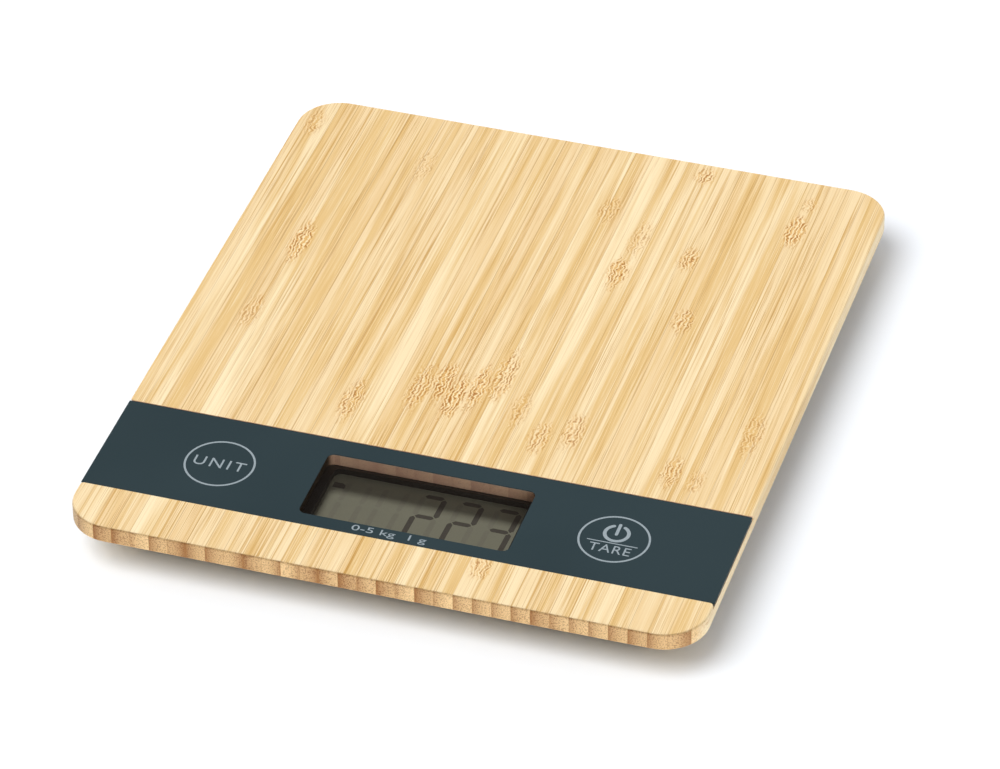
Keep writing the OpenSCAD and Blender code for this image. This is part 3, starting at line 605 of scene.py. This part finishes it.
def lettering(name, words, centre, width, height, spacing):
    """Printed words fitted to a width and height, as a mesh."""
    curve = bpy.data.curves.new(name, "FONT")
    curve.body = words
    curve.align_x = "CENTER"
    curve.space_character = spacing
    curve.resolution_u = 6
    curve.extrude = 0.5  # any depth and size will do, because both are fitted below
    text = bpy.data.objects.new(name + ".outline", curve)
    bpy.context.scene.collection.objects.link(text)
    bpy.context.view_layer.update()
    mesh = bpy.data.meshes.new_from_object(
        text.evaluated_get(bpy.context.evaluated_depsgraph_get())
    )
    bpy.data.objects.remove(text)
    bm = bmesh.new()
    bm.from_mesh(mesh)
    bpy.data.meshes.remove(mesh)
    bmesh.ops.remove_doubles(bm, verts=bm.verts, dist=1e-5)
    low = Vector([min(v.co[k] for v in bm.verts) for k in range(3)])
    high = Vector([max(v.co[k] for v in bm.verts) for k in range(3)])
    middle, size = (low + high) / 2, high - low
    place = (
        Matrix.Translation((*centre, FILM_TOP + INK_THICKNESS / 2))
        @ Matrix.Diagonal((width / size.x, height / size.y, INK_THICKNESS / size.z, 1))
        @ Matrix.Translation(-middle)
    )
    bmesh.ops.transform(bm, matrix=place, verts=bm.verts)
    piece(name, bm, INK)


key_ring("unit_ring", UNIT_KEY)
key_ring("tare_ring", TARE_KEY)
tare_x, tare_y = TARE_KEY
lettering("unit_word", "UNIT", UNIT_KEY, width=14.0, height=3.7, spacing=1.25)
lettering("tare_word", "TARE", (tare_x, tare_y - 4.1), width=11.0, height=3.1, spacing=1.1)
range_place = (DISPLAY.x - 2.9, DISPLAY.y - 14.9)
lettering("range_word", "0-5 kg  1 g", range_place, width=20.0, height=2.9, spacing=1.0)

rule_y, power_y = tare_y - 1.7, tare_y + 2.4
ink_line("tare_rule", [(tare_x - 6.6, rule_y), (tare_x + 6.6, rule_y)], width=0.32)
ink_line("power_arc", arc((tare_x, power_y), 3.1, 118, 422, count=48), width=0.95)
ink_line("power_bar", [(tare_x, power_y - 0.4), (tare_x, power_y + 3.6)], width=0.85)


# ---------------------------------------------------------------- display segments

LCD_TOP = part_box("lcd_front_polariser")[1].z / MM
SEGMENT_THICKNESS = 0.01
SEGMENT_WIDTH, SEGMENT_GAP = 1.5, 0.22
DIGIT_WIDTH, DIGIT_HEIGHT, DIGIT_SLANT = 7.2, 18.2, 0.03
DIGIT_PITCH = 10.1
DIGIT_X = [DISPLAY.x + 1.25 + DIGIT_PITCH * place for place in (-2, -1, 0, 1, 2)]
DIGIT_Y = DISPLAY.y + 1.5
SEGMENT_ENDS = {  # each segment from one end to the other, in half widths and half heights
    "a": ((-1, 1), (1, 1)),
    "b": ((1, 1), (1, 0)),
    "c": ((1, 0), (1, -1)),
    "d": ((-1, -1), (1, -1)),
    "e": ((-1, 0), (-1, -1)),
    "f": ((-1, 1), (-1, 0)),
    "g": ((-1, 0), (1, 0)),
}


def segments(name, shown, material):
    """Seven-segment bars with mitred ends. shown lists the segments of each digit place."""
    bm = bmesh.new()
    half_width = (DIGIT_WIDTH - SEGMENT_WIDTH) / 2
    half_height = (DIGIT_HEIGHT - SEGMENT_WIDTH) / 2
    for digit_x, letters in zip(DIGIT_X, shown):
        for letter in letters:
            start, end = (
                Vector((across * half_width, up * half_height))
                for across, up in SEGMENT_ENDS[letter]
            )
            along = (end - start).normalized()
            start, end = start + along * SEGMENT_GAP, end - along * SEGMENT_GAP
            nose = along * SEGMENT_WIDTH / 2
            side = Vector((-nose.y, nose.x))
            outline = [
                start,
                start + nose + side,
                end - nose + side,
                end,
                end - nose - side,
                start + nose - side,
            ]
            slanted = [(digit_x + p.x + p.y * DIGIT_SLANT, DIGIT_Y + p.y) for p in outline]
            plate(bm, slanted, LCD_TOP, SEGMENT_THICKNESS)
    piece(name, bm, material)


DARK_SEGMENT = segment_ink("dark_segment", srgb(86, 82, 75), srgb(92, 88, 80))
FAINT_SEGMENT = segment_ink("faint_segment", srgb(134, 132, 116), srgb(139, 137, 121))
segments("lit_segments", ["", "", "abged", "abged", "abgcd"], DARK_SEGMENT)
segments("faint_segments", ["bcef", "bcef", "cf", "cf", "ef"], FAINT_SEGMENT)

# the small sign at the display's corner is a rectangle with one corner cut off
SIGN = [(0, 0), (3.3, 0), (3.3, 1.4), (2.4, 2.1), (0, 2.1)]
sign_x, sign_y = DISPLAY.x - 25.6, DISPLAY.y + 6.6
bm = bmesh.new()
plate(bm, [(sign_x + x, sign_y + y) for x, y in SIGN], LCD_TOP, SEGMENT_THICKNESS)
piece("display_mark", bm, DARK_SEGMENT)


# ---------------------------------------------------------------- camera

# a long lens, from the front right and above
CAMERA_PLACE = Vector((0.358855, -1.112911, 0.898354))
CAMERA_TARGET = Vector((0.00022, 0.00602, 0))
CAMERA_ROLL = -0.564  # degrees

camera = bpy.data.cameras.new("camera")
camera.lens, camera.sensor_width = 198.08, 36.0
camera.clip_start, camera.clip_end = 0.05, 20
camera_object = bpy.data.objects.new("camera", camera)
aim = (CAMERA_TARGET - CAMERA_PLACE).to_track_quat("-Z", "Y")
roll = Quaternion((0, 0, 1), math.radians(CAMERA_ROLL))
camera_object.matrix_world = Matrix.LocRotScale(CAMERA_PLACE, aim @ roll, None)
bpy.context.scene.collection.objects.link(camera_object)
bpy.context.scene.camera = camera_object


# ---------------------------------------------------------------- floor


def floor_paint():
    """Matt white with a faint cloud, a little cool."""
    shader = Shader("floor", Roughness=0.9, Specular_IOR_Level=0.0)
    cloud = shader.noise(shader.place, 0.004, 2)
    shader.colour(shader.mix(cloud, (0.84, 0.87, 0.92, 1), (0.86, 0.89, 0.93, 1)))
    return shader.material


bm = bmesh.new()
bmesh.ops.create_grid(bm, x_segments=2, y_segments=2, size=6)  # metres, from its middle
floor_mesh = bpy.data.meshes.new("floor")
bm.to_mesh(floor_mesh)
bm.free()
floor_mesh.materials.append(floor_paint())
floor = bpy.data.objects.new("floor", floor_mesh)
bpy.context.scene.collection.objects.link(floor)


# ---------------------------------------------------------------- light


def receivers(name, state):
    """The floor, named as what a lamp lights alone (INCLUDE) or leaves out (EXCLUDE)."""
    group = bpy.data.collections.new(name)
    group.objects.link(floor)
    group.collection_objects[0].light_linking.link_state = state
    return group


def sun(name, toward, strength, angle, lit):
    """A far lamp: toward points from the object to it, angle is how wide it looks, in degrees."""
    lamp = bpy.data.lights.new(name, "SUN")
    lamp.energy, lamp.angle = strength, math.radians(angle)
    obj = bpy.data.objects.new(name, lamp)
    obj.rotation_mode = "QUATERNION"
    obj.rotation_quaternion = Vector(toward).to_track_quat("Z", "Y")
    obj.visible_glossy = False
    obj.light_linking.receiver_collection = lit
    bpy.context.scene.collection.objects.link(obj)


FLOOR_ONLY, NOT_FLOOR = receivers("floor_only", "INCLUDE"), receivers("not_floor", "EXCLUDE")
sun("key", (-0.30, 0.76, 0.58), 4.15, 12, NOT_FLOOR)
sun("fill", (0.40, -0.90, 0.11), 2.05, 36, NOT_FLOOR)
sun("floor_key", (-0.30, -0.44, 0.84), 2.3, 42, FLOOR_ONLY)
sun("floor_fill", (0, 0, 1), 1.2, 150, FLOOR_ONLY)

# a white world, bright along the horizon and dimmer above and below it
world = bpy.data.worlds.new("studio")
world.use_nodes = True
nodes, links = world.node_tree.nodes, world.node_tree.links
place, direction = nodes.new("ShaderNodeTexCoord"), nodes.new("ShaderNodeSeparateXYZ")
height, glow = nodes.new("ShaderNodeMath"), nodes.new("ShaderNodeMapRange")
height.operation = "ABSOLUTE"
for name, value in (("From Min", 0.06), ("From Max", 0.10), ("To Min", 1.0), ("To Max", 0.26)):
    glow.inputs[name].default_value = value
links.new(place.outputs["Generated"], direction.inputs[0])
links.new(direction.outputs["Z"], height.inputs[0])
links.new(height.outputs[0], glow.inputs["Value"])
links.new(glow.outputs[0], nodes["Background"].inputs["Strength"])
nodes["Background"].inputs["Color"].default_value = (1, 1, 1, 1)
bpy.context.scene.world = world
bpy.context.scene.view_settings.view_transform = "Standard"
